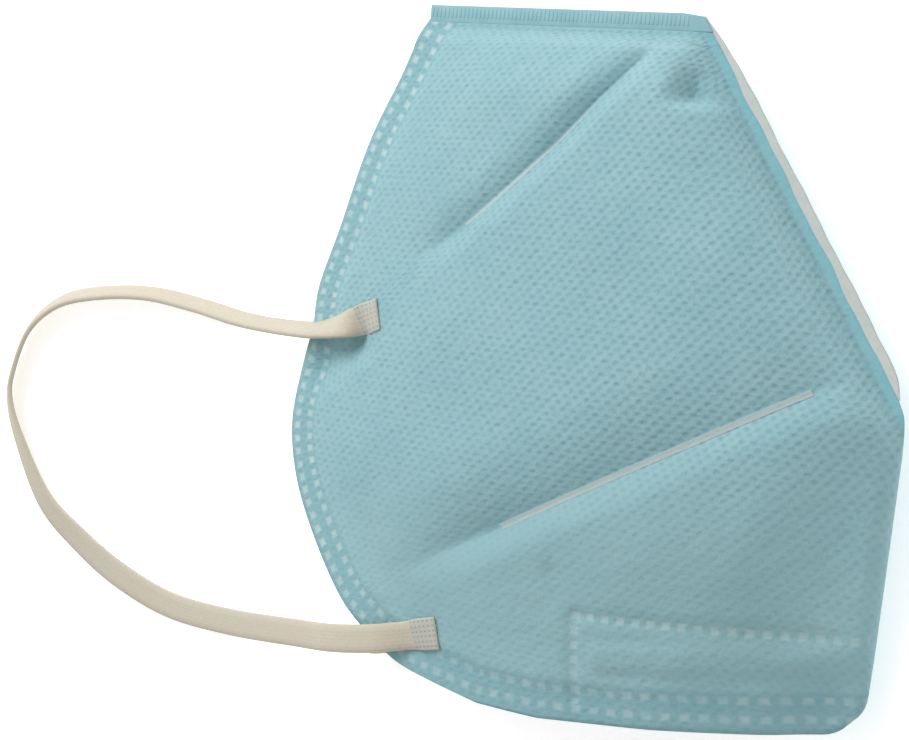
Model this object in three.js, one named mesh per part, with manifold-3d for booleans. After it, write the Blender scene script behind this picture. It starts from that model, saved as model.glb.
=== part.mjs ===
// Disposable flat-fold respirator with ear loops, lying relaxed on its side.
// Millimetres. +Z is up, +X points to the front fold and +Y to the chin. The far panel lies on the
// surface, the near panel arches over it, and the mouth of the mask is open towards -X and -Y.

import * as THREE from "three";
import Module from "manifold-3d";
import { mergeVertices } from "three/addons/utils/BufferGeometryUtils.js";

const wasm = await Module();
wasm.setup();

// ---- Driving dimensions --------------------------------------------------------------------------

const SHELL_WALL = 1.0; // outer cloth
const LINING_WALL = 1.0; // filter and inner cloth together
const GAP = 0.3; // clearance between neighbouring pieces
const FOLD_RADIUS = 2.6; // outside radius of the closed edges: chin, seam and front fold
const LINING_DEPTH = SHELL_WALL + GAP; // how far the lining's outer face lies below the outer cloth's
const HOLLOW_DEPTH = LINING_DEPTH + LINING_WALL;

// Corners of the near panel in plan, with the height of the closed edge's middle.
const CHIN_RIM = { x: -31.7, y: 57.3, z: 5 };
const CHIN_FRONT = { x: 21.4, y: 51.7, z: 6.7 };
const FRONT_POINT = { x: 55.2, y: -10.3, z: 8.5 };
const NOSE_FRONT = { x: 46.2, y: -57.8, z: 4.5 };

// The panel's crown: an elliptic dome over the surface, with the ridge's direction and two radii.
const DOME = { x: -4.5, y: -25, top: 22.7, ridge: 67, alongRadius: 380, acrossRadius: 153 };
// The run in which the near panel rises from each edge to the dome, and the far one comes down.
const RISE = { seam: 13, foldAtPoint: 13, foldAtNose: 36, chin: 12 };
const FALL = { front: 24, chin: 14 };

// The near face rim in plan, from the chin to the side of the nose.
const RIM = [
  { x: -31.7, y: 57.3 },
  { x: -34.1, y: 47.4 },
  { x: -38.9, y: 37.3 },
  { x: -44.1, y: 22 },
  { x: -47.8, y: 11.8 },
  { x: -48.6, y: 5 },
  { x: -50.4, y: -1 },
  { x: -52, y: -11.3 },
  { x: -49.9, y: -21.4 },
  { x: -45.1, y: -31.4 },
  { x: -39.4, y: -40.6 },
  { x: -34, y: -45.9 },
  { x: -28.4, y: -50.3 },
  { x: -20.9, y: -53.4 },
];

// Guide rows across the panel, from the rim to the front, as points in plan. rim: index in RIM;
// start and end: ends of a welded crease on the two middle rows; front: the end on the front edge.
const GUIDES = [
  { name: "chin", rim: 0, tuck: [-24, 56.5], start: [-14, 55.4], end: [13, 52.6], front: [21.4, 51.7] },
  { name: "upper", rim: 6, tuck: [-36, 9.5], start: [-19.2, 21.7], end: [12.4, 49], front: [23.3, 48.3] },
  { name: "lower", rim: 10, tuck: [-24, -34], start: [-8.6, -27.9], end: [42.7, -6.2], front: [55.2, -10.3] },
  { name: "nose", rim: 13, tuck: [-12.5, -56.2], start: [-1.8, -57.6], end: [35, -59.3], front: [46.2, -57.8] },
];

// Creases pressed into the near panel. depth: mm below the puffed cloth; above and below: run of the
// slope on the chin side and on the nose side; fade: how far the valley runs on past each end.
const CREASES = [
  { from: [-19.2, 21.7], to: [12.4, 49], depth: 2.4, above: 8, below: 5, fadeFrom: 24, fadeTo: 8 },
  { from: [-8.6, -27.9], to: [42.7, -6.2], depth: 3.2, above: 13, below: 6, fadeFrom: 26, fadeTo: 8 },
  { from: [-41, 2.5], to: [-50, -4], depth: 1.6, above: 4, below: 4, fadeFrom: 4, fadeTo: 6 },
];

const CREASE_TAPER = 0.6; // a crease is this much shallower at its far end

// Fractions of the grid's rows and columns. Closed edges add their own rounding stations.
const COLUMN_KNOTS = [0, 0.18, 0.35, 0.85, 1];
const COLUMNS = [0, 0.09, 0.18, 0.27, 0.35, 0.43, 0.51, 0.59, 0.67, 0.76, 0.85];
const EDGE_COLUMN = 6.5; // mm from the front edge of the last free column
const ROWS = {
  chin: [0.18, 0.36, 0.56, 0.8],
  cheek: [0, 0.08, 0.22, 0.4, 0.6, 0.76, 0.88],
  nose: [0, 0.1, 0.24, 0.42, 0.6, 0.8, 1],
};
const ROUND_STEPS = [0, Math.PI / 4, Math.PI / 2];

// How far the far rim lies outside the near rim, per mm that the near one is raised.
const MOUTH_SPREAD = 0.49;
const NOSE_SPREAD = 0.06;

// Low lifts of the far panel over the ear loop's ends, which lie under it.
const LOOP_LIFT = 1.7;
const LIFTS = [
  { x: -41, y: 6.4, flat: 13, fade: 8 },
  { x: -25, y: -46.5, flat: 13, fade: 8 },
];

const CHIN_WELD = { width: 2.3, thickness: 1.3, overlap: 0.8 };
const SEAM_EDGE = { proud: 1.5, thickness: 1.2, root: 2.0, start: 2, taper: 8, length: 70.5 };
const NOSE_WIRE = { y: -47.7, width: 4, length: 94, outer: 0.85, thickness: 0.6, step: 4 };

const STRAP = { width: 5, thickness: 0.9, chamfer: 0.25, steps: 72 };

// Ear loop routes: middle of the strap, with lean, the turn of its flat side about its run in degrees.
const NEAR_LOOP = [
  { x: -31.9, y: 6.2, z: 18.6, lean: 0 },
  { x: -38.5, y: 6.4, z: 17.1, lean: 0 },
  { x: -42.6, y: 5.7, z: 16.1, lean: 0 },
  { x: -49, y: 4.6, z: 14.2, lean: 12 },
  { x: -58.8, y: 5, z: 10.2, lean: 40 },
  { x: -68.6, y: 6.4, z: 6.8, lean: 60 },
  { x: -79.5, y: 8.9, z: 3.9, lean: 68 },
  { x: -91.5, y: 11.3, z: 2.8, lean: 66 },
  { x: -103.2, y: 11.6, z: 2.7, lean: 62 },
  { x: -112.8, y: 10.1, z: 2.6, lean: 58 },
  { x: -120.1, y: 5.3, z: 2.5, lean: 54 },
  { x: -124.3, y: -2.7, z: 2.4, lean: 50 },
  { x: -125.2, y: -8.4, z: 2.3, lean: 46 },
  { x: -123, y: -16, z: 2, lean: 38 },
  { x: -117.4, y: -27.3, z: 1.4, lean: 22 },
  { x: -109.4, y: -34.7, z: 0.9, lean: 8 },
  { x: -100.1, y: -40.9, z: 0.7, lean: 0 },
  { x: -88.2, y: -45.8, z: 1.2, lean: 0 },
  { x: -72.3, y: -47.8, z: 4.6, lean: 0 },
  { x: -52.1, y: -48, z: 12.6, lean: 0 },
  { x: -43.5, y: -47.7, z: 17.8, lean: 0 },
  { x: -37.2, y: -47.3, z: 20.7, lean: 0 },
  { x: -32, y: -46.9, z: 21.8, lean: 0 },
  { x: -25.4, y: -46.2, z: 22.4, lean: 0 },
  { x: -18.7, y: -45.5, z: 22.9, lean: 0 },
];
const FAR_LOOP = [
  { x: -34, y: 6.4, z: 0.7, lean: 0 },
  { x: -43, y: 6.4, z: 0.7, lean: 0 },
  { x: -51, y: 6.2, z: 0.9, lean: 0 },
  { x: -54.9, y: 5.7, z: 3.2, lean: 0 },
  { x: -51, y: 5.2, z: 5.5, lean: 0 },
  { x: -42, y: 4.8, z: 5.1, lean: 0 },
  { x: -28, y: 5.6, z: 4.6, lean: 0 },
  { x: -12, y: 8.4, z: 3.4, lean: 0 },
  { x: 4, y: 8.6, z: 3.3, lean: 0 },
  { x: 17, y: 3.2, z: 3.3, lean: 0 },
  { x: 24, y: -7.5, z: 3.4, lean: 0 },
  { x: 23, y: -20.5, z: 3.3, lean: 0 },
  { x: 15, y: -31, z: 3.3, lean: 0 },
  { x: 2, y: -38, z: 3.3, lean: 0 },
  { x: -12, y: -43, z: 4.4, lean: 0 },
  { x: -24, y: -46.2, z: 5.1, lean: 0 },
  { x: -38.5, y: -48.9, z: 5.5, lean: 0 },
  { x: -43.6, y: -49.5, z: 3.1, lean: 0 },
  { x: -38.5, y: -48.9, z: 0.9, lean: 0 },
  { x: -29, y: -47.2, z: 0.7, lean: 0 },
  { x: -20.5, y: -45.8, z: 0.7, lean: 0 },
];

// ---- Plan of the panel -----------------------------------------------------------------------------

const lerp = THREE.MathUtils.lerp;
const rimCurve = new THREE.CatmullRomCurve3(RIM.map((p) => new THREE.Vector3(p.x, p.y, 0)));

// A closed edge seen in plan: a straight line whose outward side is +distance.
function edgeLine(a, b) {
  const run = Math.hypot(b.x - a.x, b.y - a.y);
  const out = { x: (a.y - b.y) / run, y: (b.x - a.x) / run };
  return (x, y) => -((x - a.x) * out.x + (y - a.y) * out.y);
}
const chinDistance = edgeLine(CHIN_RIM, CHIN_FRONT);
const seamDistance = edgeLine(CHIN_FRONT, FRONT_POINT);
const foldDistance = edgeLine(FRONT_POINT, NOSE_FRONT);
const frontDistance = (x, y) => Math.min(seamDistance(x, y), foldDistance(x, y));

// The five knots of a grid row. Zone 0 runs from the chin to the upper crease, 1 on to the lower one
// and 2 to the nose.
function rowKnots(zone, fraction) {
  const a = GUIDES[zone];
  const b = GUIDES[zone + 1];
  const rim = rimCurve.getPoint(lerp(a.rim, b.rim, fraction) / (RIM.length - 1));
  const between = (key) => ({
    x: lerp(a[key][0], b[key][0], fraction),
    y: lerp(a[key][1], b[key][1], fraction),
  });
  return [{ x: rim.x, y: rim.y }, between("tuck"), between("start"), between("end"), between("front")];
}

// The knots of a row at a set distance from the chin, which lie on the columns of the first zone.
function chinRowKnots(distance) {
  const top = rowKnots(0, 0);
  const crease = rowKnots(0, 1);
  return top.map((t, i) => {
    if (i === 0) {
      const rim = rimCurve.getPoint(distance / chinDistance(RIM[1].x, RIM[1].y) / (RIM.length - 1));
      return { x: rim.x, y: rim.y };
    }
    const share = distance / chinDistance(crease[i].x, crease[i].y);
    return { x: lerp(t.x, crease[i].x, share), y: lerp(t.y, crease[i].y, share) };
  });
}

function pointOnRow(knots, u) {
  const span = COLUMN_KNOTS.findIndex((k) => k > u) - 1;
  const t = (u - COLUMN_KNOTS[span]) / (COLUMN_KNOTS[span + 1] - COLUMN_KNOTS[span]);
  return { x: lerp(knots[span].x, knots[span + 1].x, t), y: lerp(knots[span].y, knots[span + 1].y, t) };
}

// The last stretch of a row, at a set distance from the front edge.
function pointNearFront(knots, distance) {
  const share = 1 - distance / frontDistance(knots[3].x, knots[3].y);
  return { x: lerp(knots[3].x, knots[4].x, share), y: lerp(knots[3].y, knots[4].y, share) };
}

// The grid of a closed skin that lies `depth` inside the outer face. Each point carries how far it is
// round each closed edge, from 0 on the edge to 1 past it, and how far the far panel is spread there.
// `past` runs the skin out of the mouth, for a cutter.
function planGrid(depth, past) {
  const inset = (angle) => depth + (FOLD_RADIUS - depth) * (1 - Math.cos(angle));
  const chinRow = (angle) => ({ knots: chinRowKnots(inset(angle)), round: Math.sin(angle) });
  const rows = ROUND_STEPS.map(chinRow);
  const chinEnd = chinRowKnots(FOLD_RADIUS);
  const creaseRow = rowKnots(0, 1);
  const chinShare = FOLD_RADIUS / chinDistance(RIM[1].x, RIM[1].y) / GUIDES[1].rim;
  for (const f of ROWS.chin) {
    const towards = (c, i) => ({ x: lerp(c.x, creaseRow[i].x, f), y: lerp(c.y, creaseRow[i].y, f) });
    const knots = chinEnd.map(towards);
    knots[0] = rowKnots(0, lerp(chinShare, 1, f))[0];
    rows.push({ knots, round: 1 });
  }
  for (const f of ROWS.cheek) rows.push({ knots: rowKnots(1, f), round: 1 });
  for (const f of ROWS.nose) rows.push({ knots: rowKnots(2, f), round: 1 });
  if (past > 0) {
    const last = rows.at(-1).knots;
    rows.push({ knots: last.map((k) => ({ x: k.x, y: k.y - past })), round: 1 });
  }

  return rows.map(({ knots, round }) => {
    const points = COLUMNS.map((u) => ({ ...pointOnRow(knots, u), round }));
    points.push({ ...pointNearFront(knots, EDGE_COLUMN), round });
    for (const angle of [...ROUND_STEPS].reverse())
      points.push({ ...pointNearFront(knots, inset(angle)), round: round * Math.sin(angle) });
    const rimRise = nearRise(points[0].x, points[0].y) * round;
    const spread = (j) => MOUTH_SPREAD * rimRise * (1 - j / (points.length - 1));
    const spaced = points.map((p, j) => ({ ...p, spread: spread(j) }));
    if (past > 0) spaced.unshift({ ...spaced[0], x: spaced[0].x - past });
    return spaced;
  });
}

// ---- Heights of the two panels ---------------------------------------------------------------------

const TINY = 1e-9; // keeps a share of two distances defined where both are zero
const clamp01 = (t) => Math.min(1, Math.max(0, t));
const easeOut = (t) => 1 - (1 - clamp01(t)) ** 2;
const smooth = (t) => clamp01(t) ** 2 * (3 - 2 * clamp01(t));

// How far down the front fold a height in plan lies: 0 at the front point, 1 at the nose.
const downFold = (y) => (FRONT_POINT.y - y) / (FRONT_POINT.y - NOSE_FRONT.y);

// Height of the middle of the closed edges, carried on under the panel.
function edgeHeight(x, y) {
  if (y < FRONT_POINT.y) return lerp(FRONT_POINT.z, NOSE_FRONT.z, downFold(y));
  const alongSeam = clamp01((y - FRONT_POINT.y) / (CHIN_FRONT.y - FRONT_POINT.y));
  const alongChin = clamp01((x - CHIN_RIM.x) / (CHIN_FRONT.x - CHIN_RIM.x));
  const seam = lerp(FRONT_POINT.z, CHIN_FRONT.z, alongSeam);
  const chin = lerp(CHIN_RIM.z, CHIN_FRONT.z, alongChin);
  const offSeam = seamDistance(x, y);
  const share = clamp01(offSeam / (offSeam + Math.max(chinDistance(x, y), 0) + TINY));
  return lerp(seam, chin, share);
}

function domeHeight(x, y) {
  const turn = THREE.MathUtils.degToRad(DOME.ridge);
  const along = (x - DOME.x) * Math.cos(turn) + (y - DOME.y) * Math.sin(turn);
  const across = -(x - DOME.x) * Math.sin(turn) + (y - DOME.y) * Math.cos(turn);
  return DOME.top - along ** 2 / (2 * DOME.alongRadius) - across ** 2 / (2 * DOME.acrossRadius);
}

function creaseDepth(crease, x, y) {
  const dx = crease.to[0] - crease.from[0];
  const dy = crease.to[1] - crease.from[1];
  const length = Math.hypot(dx, dy);
  const along = ((x - crease.from[0]) * dx + (y - crease.from[1]) * dy) / length;
  const across = ((y - crease.from[1]) * dx - (x - crease.from[0]) * dy) / length;
  const slope = clamp01(1 - Math.abs(across) / (across > 0 ? crease.above : crease.below));
  const before = smooth(1 + along / crease.fadeFrom);
  const after = smooth(1 + (length - along) / crease.fadeTo);
  const taper = lerp(1, CREASE_TAPER, clamp01(along / length));
  return crease.depth * taper * slope ** 2 * before * after;
}

// How far the near panel stands above its closed edges, apart from their rounding.
function nearRise(x, y) {
  const foldRun = lerp(RISE.foldAtPoint, RISE.foldAtNose, clamp01(downFold(y)));
  const offSeam = easeOut(seamDistance(x, y) / RISE.seam);
  const front = Math.min(offSeam, easeOut(foldDistance(x, y) / foldRun));
  const ramp = front * easeOut(chinDistance(x, y) / RISE.chin);
  const creases = CREASES.reduce((sum, crease) => sum + creaseDepth(crease, x, y), 0);
  return Math.max(0, (domeHeight(x, y) - edgeHeight(x, y) - FOLD_RADIUS - creases) * ramp);
}

// How far the far panel drops below its closed edges, apart from their rounding.
function farFall(x, y) {
  const ramp = smooth(frontDistance(x, y) / FALL.front) * smooth(chinDistance(x, y) / FALL.chin);
  const lift = (l) => LOOP_LIFT * smooth(1 - (Math.hypot(x - l.x, y - l.y) - l.flat) / l.fade);
  const raised = LIFTS.reduce((sum, l) => sum + lift(l), 0);
  return (edgeHeight(x, y) - FOLD_RADIUS) * ramp - raised;
}

function nearPoint(p, depth) {
  return [p.x, p.y, edgeHeight(p.x, p.y) + (FOLD_RADIUS - depth + nearRise(p.x, p.y)) * p.round];
}

// The far panel's rim lies a little outside the near one's.
function farPoint(p, depth) {
  const y = p.y - NOSE_SPREAD * nearRise(p.x, p.y) * clamp01(downFold(p.y)) ** 2 * p.round;
  const z = edgeHeight(p.x, p.y) - (FOLD_RADIUS - depth + farFall(p.x, p.y)) * p.round;
  return [p.x - p.spread, y, z];
}

// ---- Solids ----------------------------------------------------------------------------------------

// A closed body from faces with three or four corners each.
function solidFromFaces(faces) {
  const positions = [];
  for (const corners of faces)
    for (let i = 2; i < corners.length; i++)
      positions.push(...corners[0], ...corners[i - 1], ...corners[i]);
  const geometry = new THREE.BufferGeometry();
  geometry.setAttribute("position", new THREE.Float32BufferAttribute(positions, 3));
  return solidFromGeometry(geometry);
}

function solidFromGeometry(geometry) {
  const bare = geometry.index ? geometry.toNonIndexed() : geometry.clone();
  bare.deleteAttribute("normal");
  bare.deleteAttribute("uv");
  const merged = mergeVertices(bare, 1e-4);
  const index = merged.index.array;
  const kept = [];
  for (let i = 0; i < index.length; i += 3) {
    const [a, b, c] = [index[i], index[i + 1], index[i + 2]];
    if (a !== b && b !== c && c !== a) kept.push(a, b, c);
  }
  const vertProperties = merged.attributes.position.array;
  const triVerts = new Uint32Array(kept);
  return new wasm.Manifold(new wasm.Mesh({ numProp: 3, vertProperties, triVerts }));
}

// The closed skin of the folded mask at a depth inside its outer face: near panel, far panel and the
// mouth between them.
function pillow(depth, past = 0) {
  const plan = planGrid(depth, past);
  const near = plan.map((row) => row.map((p) => nearPoint(p, depth)));
  const far = plan.map((row) => row.map((p) => farPoint(p, depth)));
  const faces = [];
  const lastRow = plan.length - 1;
  const lastColumn = plan[0].length - 1;
  for (let i = 0; i < lastRow; i++) {
    for (let j = 0; j < lastColumn; j++) {
      faces.push([near[i][j], near[i + 1][j], near[i + 1][j + 1], near[i][j + 1]]);
      faces.push([far[i][j], far[i][j + 1], far[i + 1][j + 1], far[i + 1][j]]);
    }
    faces.push([near[i][0], far[i][0], far[i + 1][0], near[i + 1][0]]);
  }
  for (let j = 0; j < lastColumn; j++)
    faces.push([near[lastRow][j], far[lastRow][j], far[lastRow][j + 1], near[lastRow][j + 1]]);
  return solidFromFaces(faces);
}

// A flat strip along a closed edge. outline: points as [along, outwards] from the edge's start.
function edgeStrip(from, to, outline, thickness) {
  const shape = new THREE.Shape(outline.map(([along, out]) => new THREE.Vector2(along, out)));
  const geometry = new THREE.ExtrudeGeometry(shape, { depth: thickness, bevelEnabled: false });
  geometry.translate(0, 0, -thickness / 2);
  const along = new THREE.Vector3(to.x - from.x, to.y - from.y, to.z - from.z).normalize();
  const out = new THREE.Vector3(-along.y, along.x, 0).normalize();
  const up = new THREE.Vector3().crossVectors(along, out);
  const frame = new THREE.Matrix4().makeBasis(along, out, up);
  frame.setPosition(from.x, from.y, from.z);
  return solidFromGeometry(geometry.applyMatrix4(frame));
}

const distanceBetween = (a, b) => Math.hypot(b.x - a.x, b.y - a.y, b.z - a.z);

function chinWeld() {
  const length = distanceBetween(CHIN_RIM, CHIN_FRONT);
  const { width, thickness, overlap } = CHIN_WELD;
  const outline = [
    [0, -overlap],
    [length - overlap, -overlap],
    [length - overlap, width],
    [0, width],
  ];
  return edgeStrip(CHIN_RIM, CHIN_FRONT, outline, thickness);
}

// The cut edge of the inner layers, which shows outside the outer cloth along the seam.
function seamEdge() {
  const { proud, thickness, root, start, taper, length } = SEAM_EDGE;
  const outline = [
    [start, -root],
    [length - taper, -root],
    [length - taper, 0],
    [length - 2 * taper, proud],
    [start + taper, proud],
    [start, 0],
  ];
  return edgeStrip(CHIN_FRONT, FRONT_POINT, outline, thickness);
}

// The slot in the outer cloth through which the cut edge comes out.
function seamSlot() {
  const { thickness, root, start, taper, length } = SEAM_EDGE;
  const outline = [
    [start - GAP, -root],
    [length - taper + GAP, -root],
    [length - taper + GAP, FOLD_RADIUS],
    [start - GAP, FOLD_RADIUS],
  ];
  return edgeStrip(CHIN_FRONT, FRONT_POINT, outline, thickness + 2 * GAP);
}

// A strip that lies between the layers across the nose fold, at a depth below the outer face.
function noseStrip(outer, thickness, width, length) {
  const bottom = NOSE_WIRE.y - width / 2;
  const top = NOSE_WIRE.y + width / 2;
  const frontAt = (y) => lerp(FRONT_POINT.x, NOSE_FRONT.x, downFold(y));
  const stations = [];
  for (let run = length / 2; run > FOLD_RADIUS; run -= NOSE_WIRE.step) stations.push({ run });
  const layer = (y, depth, side, station) => {
    const run = station.run ?? depth + (FOLD_RADIUS - depth) * (1 - Math.cos(station.angle));
    const p = { x: frontAt(y) - run, y, round: station.run ? 1 : Math.sin(station.angle), spread: 0 };
    return side > 0 ? nearPoint(p, depth) : farPoint(p, depth);
  };
  const round = [...ROUND_STEPS].reverse().map((angle) => ({ angle }));
  const path = [
    ...stations.map((s) => [1, s]),
    ...round.map((s) => [1, s]),
    ...round.slice(0, -1).reverse().map((s) => [-1, s]),
    ...[...stations].reverse().map((s) => [-1, s]),
  ];
  const inner = outer + thickness;
  const sections = path.map(([side, s]) => [
    layer(top, outer, side, s),
    layer(bottom, outer, side, s),
    layer(bottom, inner, side, s),
    layer(top, inner, side, s),
  ]);
  return solidFromFaces(loftFaces(sections));
}

// Faces of a loft through sections with the same number of corners, with its two ends closed.
function loftFaces(sections) {
  const faces = [];
  const corners = sections[0].length;
  for (let i = 1; i < sections.length; i++)
    for (let k = 0; k < corners; k++) {
      const next = (k + 1) % corners;
      faces.push([sections[i - 1][k], sections[i - 1][next], sections[i][next], sections[i][k]]);
    }
  faces.push([...sections[0]].reverse(), sections.at(-1));
  return faces;
}

// A flat elastic strap along its route, turned about its run by the lean of each point.
function strap(route) {
  const curve = new THREE.CatmullRomCurve3(route.map((p) => new THREE.Vector3(p.x, p.y, p.z)));
  const half = STRAP.width / 2;
  const thin = STRAP.thickness / 2;
  const cut = STRAP.chamfer;
  const section = [
    [half, cut - thin],
    [half, thin - cut],
    [half - cut, thin],
    [cut - half, thin],
    [-half, thin - cut],
    [-half, cut - thin],
    [cut - half, -thin],
    [half - cut, -thin],
  ];
  const sections = [];
  let side = null;
  for (let i = 0; i <= STRAP.steps; i++) {
    const t = i / STRAP.steps;
    const at = t * (route.length - 1);
    const k = Math.min(Math.floor(at), route.length - 2);
    const lean = THREE.MathUtils.degToRad(lerp(route[k].lean, route[k + 1].lean, at - k));
    const middle = curve.getPoint(t);
    const run = curve.getTangent(t);
    const level = new THREE.Vector3(-run.y, run.x, 0).normalize();
    if (side && level.dot(side) < 0) level.negate();
    side = level;
    const wide = level.clone().applyAxisAngle(run, lean);
    const flat = new THREE.Vector3().crossVectors(run, wide);
    const corner = ([a, b]) => middle.clone().addScaledVector(wide, a).addScaledVector(flat, b);
    sections.push(section.map((point) => corner(point).toArray()));
  }
  return solidFromFaces(loftFaces(sections));
}

// ---- The assembly ----------------------------------------------------------------------------------

const MOUTH_PAST = 5; // how far the hollow's cutter runs out of the mouth

function noseWire() {
  const { outer, thickness, width, length } = NOSE_WIRE;
  return noseStrip(outer, thickness, width, length);
}

function nosePocket() {
  const { outer, thickness, width, length } = NOSE_WIRE;
  return noseStrip(outer - GAP, thickness + 2 * GAP, width + 2 * GAP, length + 2 * GAP);
}

function outerShell() {
  const skin = pillow(0).subtract(pillow(SHELL_WALL, MOUTH_PAST));
  return skin.subtract(seamSlot()).subtract(nosePocket()).add(chinWeld());
}

function innerLining() {
  const skin = pillow(LINING_DEPTH).subtract(pillow(HOLLOW_DEPTH, MOUTH_PAST));
  return skin.add(seamEdge()).subtract(nosePocket());
}

const cloth = (color, roughness) => new THREE.MeshStandardMaterial({ color, roughness, metalness: 0 });
const outerCloth = cloth(0x93b9bf, 0.9);
const innerCloth = cloth(0xdde3e0, 0.9);
const elastic = cloth(0xcfc6b6, 0.85);
const wire = new THREE.MeshStandardMaterial({ color: 0xb8babc, roughness: 0.45, metalness: 0.9 });

function pieceFrom(solid, name, material) {
  const { vertProperties, triVerts, numProp } = solid.getMesh();
  const positions = new THREE.BufferAttribute(new Float32Array(vertProperties), numProp);
  const geometry = new THREE.BufferGeometry();
  geometry.setAttribute("position", positions);
  geometry.setIndex(new THREE.BufferAttribute(new Uint32Array(triVerts), 1));
  geometry.computeVertexNormals();
  const mesh = new THREE.Mesh(geometry, material);
  mesh.name = name;
  return mesh;
}

const respirator = new THREE.Group();
respirator.add(pieceFrom(outerShell(), "outer_shell", outerCloth));
respirator.add(pieceFrom(innerLining(), "inner_lining", innerCloth));
respirator.add(pieceFrom(noseWire(), "nose_wire", wire));
respirator.add(pieceFrom(strap(NEAR_LOOP), "ear_loop_near", elastic));
respirator.add(pieceFrom(strap(FAR_LOOP), "ear_loop_far", elastic));

export default respirator;
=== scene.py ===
"""Disposable flat-fold respirator with ear loops, lying relaxed on its side.

The frame is in metres: +Z up, +X towards the front fold, +Y towards the chin. The cloth's shape is
worked out in millimetres and turned to metres where its mesh is made.
"""

import math

import bmesh
import bpy
import numpy as np
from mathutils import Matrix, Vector


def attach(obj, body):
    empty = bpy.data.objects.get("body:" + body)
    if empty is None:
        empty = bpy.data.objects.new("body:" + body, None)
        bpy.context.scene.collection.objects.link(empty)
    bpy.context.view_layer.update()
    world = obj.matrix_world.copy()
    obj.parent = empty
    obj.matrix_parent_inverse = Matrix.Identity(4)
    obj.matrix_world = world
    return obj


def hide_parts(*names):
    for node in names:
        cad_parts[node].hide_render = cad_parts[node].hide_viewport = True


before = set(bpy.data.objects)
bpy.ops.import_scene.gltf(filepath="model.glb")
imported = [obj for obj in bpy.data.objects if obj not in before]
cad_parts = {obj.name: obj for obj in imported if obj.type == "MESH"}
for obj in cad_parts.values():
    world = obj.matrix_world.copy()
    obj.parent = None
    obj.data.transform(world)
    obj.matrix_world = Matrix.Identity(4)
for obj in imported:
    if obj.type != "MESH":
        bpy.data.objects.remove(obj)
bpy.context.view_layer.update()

# ---- Table, light and camera ------------------------------------------------------------------------
# A plain white table top under a large soft light from the chin side and the ear-loop side, with
# white surroundings. The camera looks down on the mask from its front, 30 degrees off the vertical.


def add_node(tree, kind, inputs=(), output=0, **settings):
    """Adds a node and gives its output. An input is a value, a hex colour or another node's output."""
    node = tree.nodes.new("ShaderNode" + kind)
    for name, value in settings.items():
        setattr(node, name, value)
    for key, value in dict(inputs).items():
        if isinstance(value, bpy.types.NodeSocket):
            tree.links.new(value, node.inputs[key])
        else:
            node.inputs[key].default_value = from_hex(value) if isinstance(value, str) else value
    return node.outputs[output]


def from_hex(code):
    """A linear colour from an sRGB hex value."""
    values = [int(code[i : i + 2], 16) / 255 for i in (1, 3, 5)]
    return [v / 12.92 if v <= 0.04045 else ((v + 0.055) / 1.055) ** 2.4 for v in values] + [1.0]


def new_material(name):
    """A material with its node tree and its Principled shader."""
    material = bpy.data.materials.new(name)
    material.use_nodes = True
    return material, material.node_tree, material.node_tree.nodes["Principled BSDF"]


def new_piece(name, vertices, faces, material):
    """A mesh object at the origin, smooth shaded. vertices are in metres."""
    mesh = bpy.data.meshes.new(name)
    mesh.from_pydata([tuple(v) for v in vertices], [], [tuple(f) for f in faces])
    mesh.materials.append(material)
    mesh.shade_smooth()
    piece = bpy.data.objects.new(name, mesh)
    bpy.context.scene.collection.objects.link(piece)
    return piece


camera_data = bpy.data.cameras.new("camera")
camera_data.sensor_width = 36.0
camera_data.lens = 96.0
camera_data.clip_start = 0.01
camera = bpy.data.objects.new("camera", camera_data)
camera.location = (0.1795, -0.0027, 0.3604)
camera.rotation_euler = (0.0, math.radians(30), 0.0)
bpy.context.scene.collection.objects.link(camera)
bpy.context.scene.camera = camera
bpy.context.scene.view_settings.view_transform = "Standard"

table_paint, tree, shader = new_material("white acrylic, lit from below")
shader.inputs["Base Color"].default_value = from_hex("#fafafa")
shader.inputs["Roughness"].default_value = 0.9
shader.inputs["Emission Color"].default_value = (1.0, 1.0, 1.0, 1.0)
shader.inputs["Emission Strength"].default_value = 0.45
TABLE = 1.5
corners = [(-TABLE, -TABLE, 0), (TABLE, -TABLE, 0), (TABLE, TABLE, 0), (-TABLE, TABLE, 0)]
table = new_piece("table_top", corners, [(0, 1, 2, 3)], table_paint)

world = bpy.data.worlds.new("white room")
world.use_nodes = True
world.node_tree.nodes["Background"].inputs["Color"].default_value = (1.0, 1.0, 1.0, 1.0)
world.node_tree.nodes["Background"].inputs["Strength"].default_value = 0.61
bpy.context.scene.world = world

lamp_data = bpy.data.lights.new("soft box", "AREA")
lamp_data.size = 0.7
lamp_data.energy = 9.8
lamp = bpy.data.objects.new("soft box", lamp_data)
lamp.location = (-0.42, 0.76, 0.75)
lamp.rotation_euler = (Vector((-0.02, 0.0, 0.0)) - lamp.location).to_track_quat("-Z", "Y").to_euler()
bpy.context.scene.collection.objects.link(lamp)

# ---- Outer cloth ------------------------------------------------------------------------------------
# Light blue spunbond non-woven, point-bonded in a fine staggered lattice of dots. One web makes both
# panels: it is folded at the front, and welded along the seam, the chin and two short darts.

LAYER_EDGE = 2.6  # half thickness of the closed edges
CHIN_RIM = (-31.7, 57.3, 5.0)
CHIN_FRONT = (22.45, 51.5, 6.7)
FRONT_POINT = (55.45, -9.7, 8.5)
NOSE_FRONT = (46.9, -59.3, 4.5)
NOSE_CORNER = 6.2  # radius of the corner between the nose rim and the fold
POINT_EASE = {"in": 0.5, "reach": 4.5, "way": (-0.96, -0.28)}  # easing of the corner at the front point

DOME = {"x": -4.5, "y": -25, "top": 22.7, "ridge": 67, "along": 380, "across": 153}
RISE = {"seam": 13, "fold_at_point": 13, "fold_at_nose": 36, "chin": 14}
FALL = {"front": 24, "chin": 14}
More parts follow.
